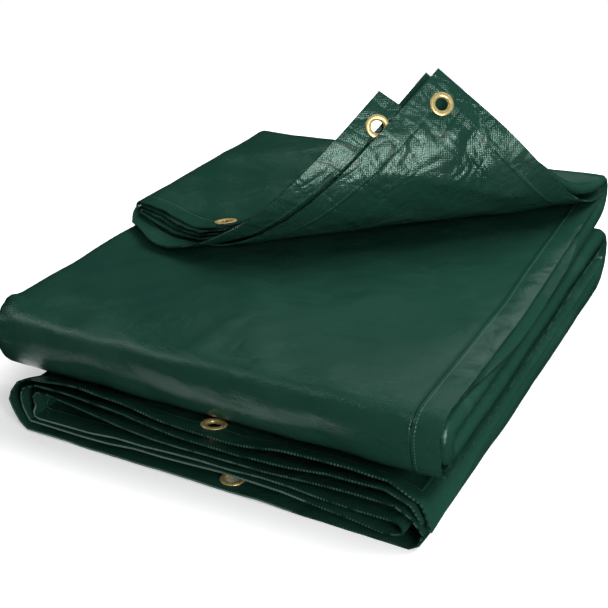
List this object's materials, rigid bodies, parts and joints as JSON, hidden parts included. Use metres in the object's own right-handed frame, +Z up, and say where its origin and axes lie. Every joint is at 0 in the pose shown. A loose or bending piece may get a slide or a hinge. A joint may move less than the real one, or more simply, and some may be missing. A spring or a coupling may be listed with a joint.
{
  "type": "folded tarpaulin",
  "caption": "Dark green coated tarpaulin, doubled and folded into a flat bundle, with brass eyelets in its hems and one corner thrown back over the top.",
  "frame": {"origin": "on the floor under the middle of the bundle's plan", "axes": "+Z up, -Y towards the front fold and the loose front hems, +X towards the side with the free edges"},
  "size_m": [0.4723, 0.5535, 0.2925],
  "materials": {
    "coated_cloth": "gloss",
    "brass": "polished"
  },
  "bodies": {
    "root": {"tarp_sheet": "coated_cloth", "hem_patch_front_upper": "coated_cloth", "hem_patch_front_lower": "coated_cloth", "hem_patch_flap_top": "coated_cloth", "hem_patch_corner_inner": "coated_cloth", "hem_patch_corner_outer": "coated_cloth", "eyelet_front_upper": "brass", "eyelet_front_lower": "brass", "eyelet_flap_top": "brass", "eyelet_corner_inner": "brass", "eyelet_corner_outer": "brass"}
  },
  "joints": []
}
